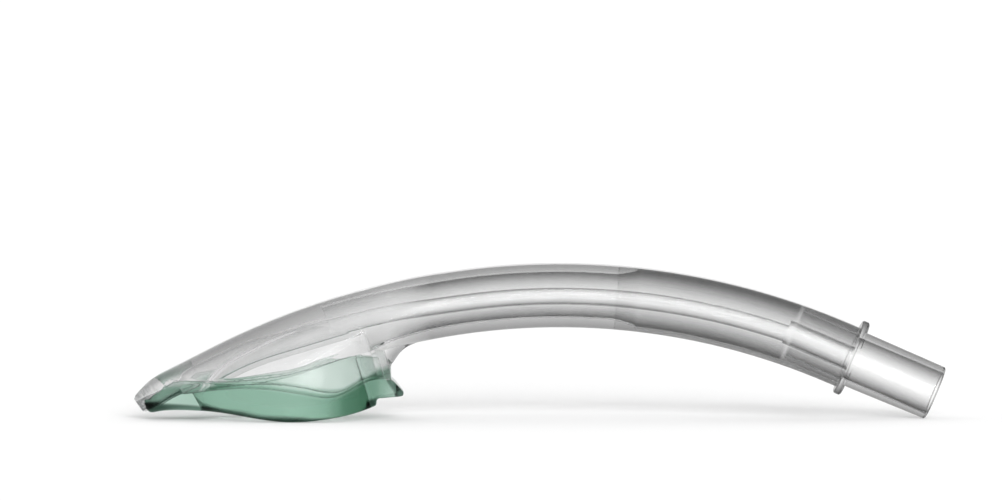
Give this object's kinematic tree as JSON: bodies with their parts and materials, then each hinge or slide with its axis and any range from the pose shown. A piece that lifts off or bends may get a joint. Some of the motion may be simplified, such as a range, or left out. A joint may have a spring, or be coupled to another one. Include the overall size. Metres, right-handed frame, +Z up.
{
  "type": "supraglottic airway",
  "caption": "Curved clear airway stem that widens into an oval mask with a soft green gel cuff, with a 15 mm male connector, a bore for gas and a gastric channel beside it.",
  "frame": {"origin": "middle of the footprint at table height, under the bend of the stem", "axes": "+X from the tip of the mask towards the connector, +Z up from the table, the mask's opening facing down, +Y towards the side of the airway lumen; the gastric channel lies on the -Y side"},
  "size_m": [0.2226, 0.0446, 0.0427],
  "materials": {
    "clear_hard": "clear, glossy",
    "clear_stem": "clear, glossy",
    "clear_body": "clear, glossy",
    "green_gel": "translucent, satin"
  },
  "bodies": {
    "root": {"connector": "clear_hard", "airway_tube": "clear_stem", "mask_body": "clear_body", "gel_cuff": "green_gel"}
  },
  "joints": []
}
